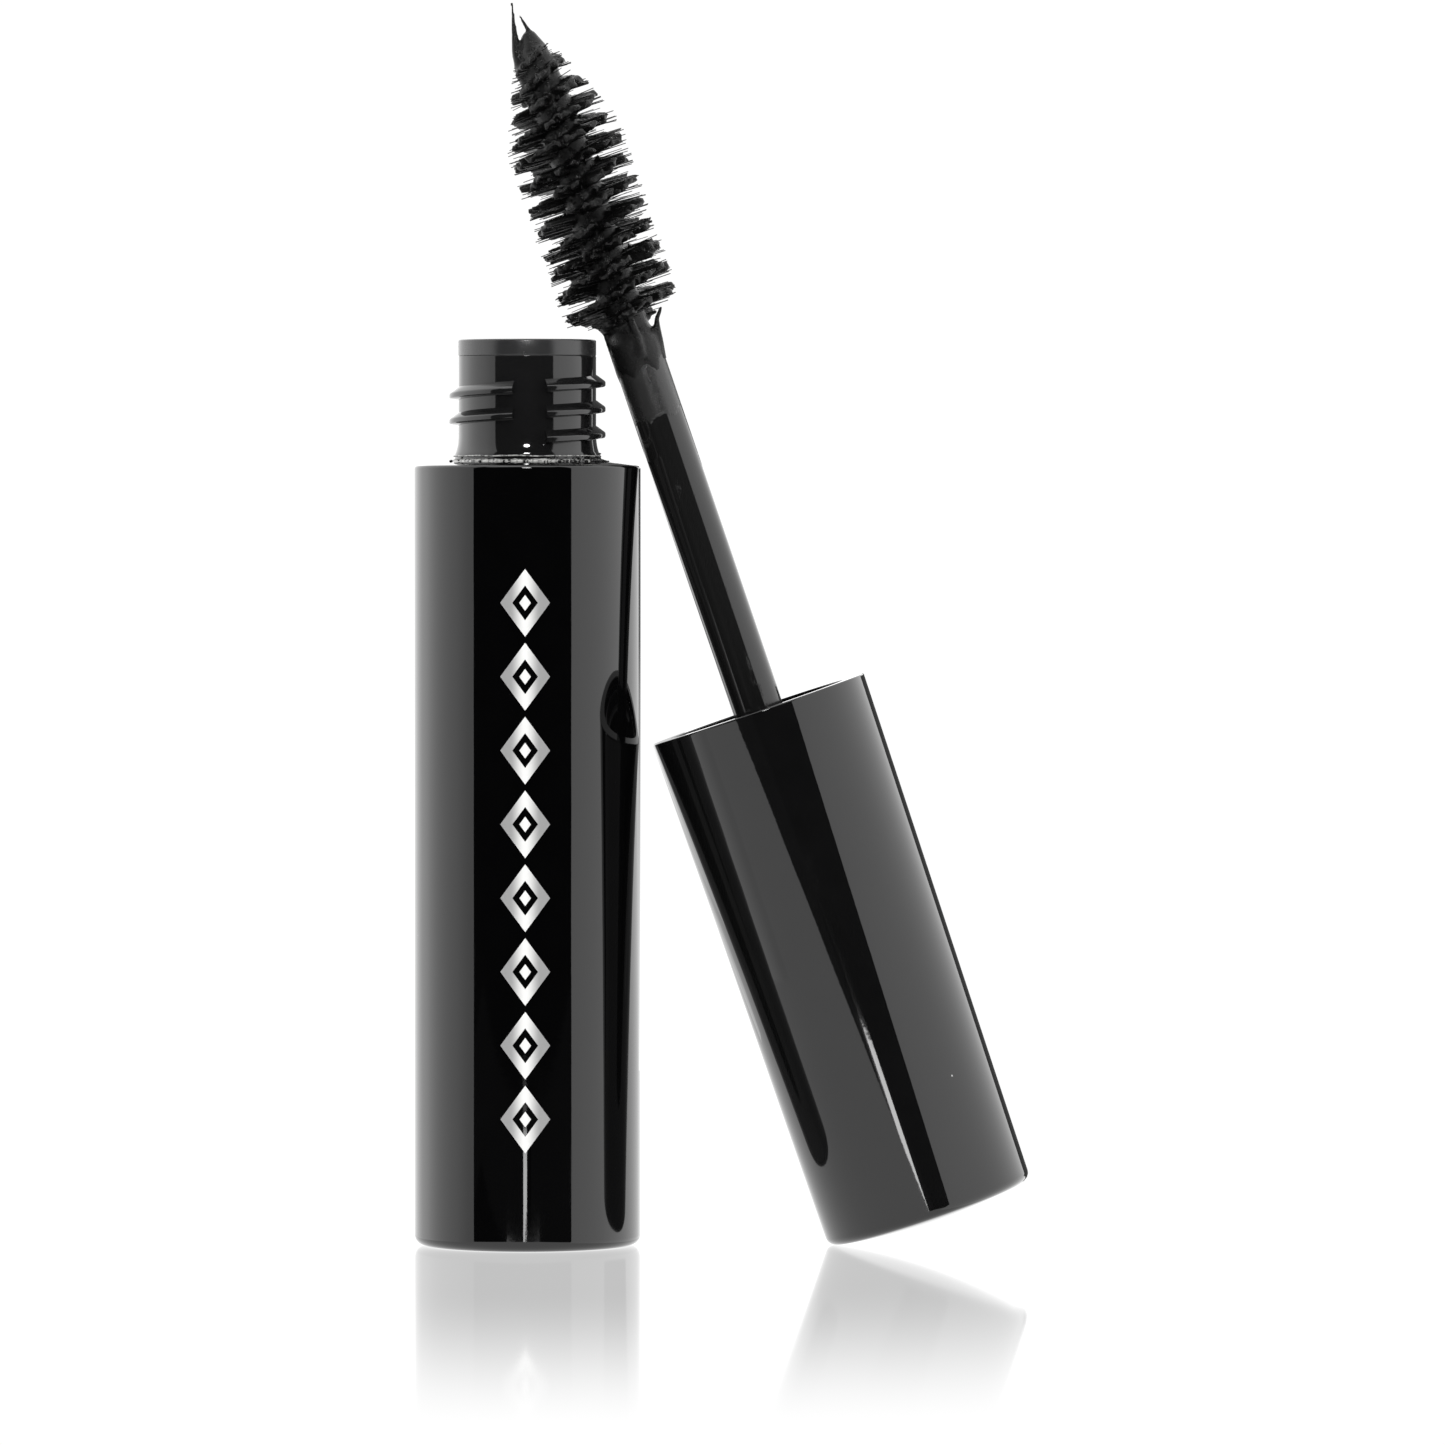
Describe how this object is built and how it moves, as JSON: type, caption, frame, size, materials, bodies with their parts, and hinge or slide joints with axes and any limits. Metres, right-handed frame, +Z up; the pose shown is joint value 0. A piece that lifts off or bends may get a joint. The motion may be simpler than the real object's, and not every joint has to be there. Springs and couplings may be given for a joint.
{
  "type": "mascara tube",
  "caption": "Gloss cylindrical mascara tube standing open, with a threaded neck and wiper, and its capped brush wand leaning beside it.",
  "frame": {"origin": "the tube's axis at the surface it stands on, the centre of the base", "axes": "+Z up along the tube; the wand leans in the XZ plane on the +X side, its brush towards -X over the neck"},
  "size_m": [0.051, 0.0188, 0.1009],
  "materials": {
    "sleeve_gloss": "high gloss black, moulded",
    "base_plastic": "gloss black, moulded",
    "label_film": "blank satin film",
    "vial_plastic": "semi-gloss black, moulded",
    "adhesive": "dried clear adhesive over black",
    "wiper_plastic": "soft satin black",
    "mascara": "wet black paste",
    "silver_foil": "hot-stamped silver foil",
    "cap_gloss": "high gloss black, moulded",
    "insert_plastic": "satin black, moulded",
    "washer_rubber": "soft black foam",
    "stem_plastic": "gloss black, extruded",
    "wire_steel": "twisted wire",
    "fibres": "nylon fibre clumped with mascara"
  },
  "bodies": {
    "tube": {"outer_sleeve": "sleeve_gloss", "base_plug": "base_plastic", "shade_label": "label_film", "inner_vial": "vial_plastic", "neck_bead": "adhesive", "wiper": "wiper_plastic", "mascara_fill": "mascara", "foil_motif": "silver_foil"},
    "carrier": {"sealing_washer": "washer_rubber"},
    "wand": {"cap_shell": "cap_gloss", "cap_insert": "insert_plastic", "stem": "stem_plastic", "wire_core": "wire_steel", "bristles": "fibres", "mascara_coat": "mascara"}
  },
  "joints": [
    {"name": "wand_lift", "type": "slide", "parent": "tube", "child": "carrier", "axis": [0, 0, 1], "range_m": [0, 0.09]},
    {"name": "cap_turn", "type": "hinge", "parent": "carrier", "child": "wand", "pos_m": [0.01915, 0, 0.04454], "axis": [-0.3223, 0, 0.9466], "continuous": true}
  ]
}
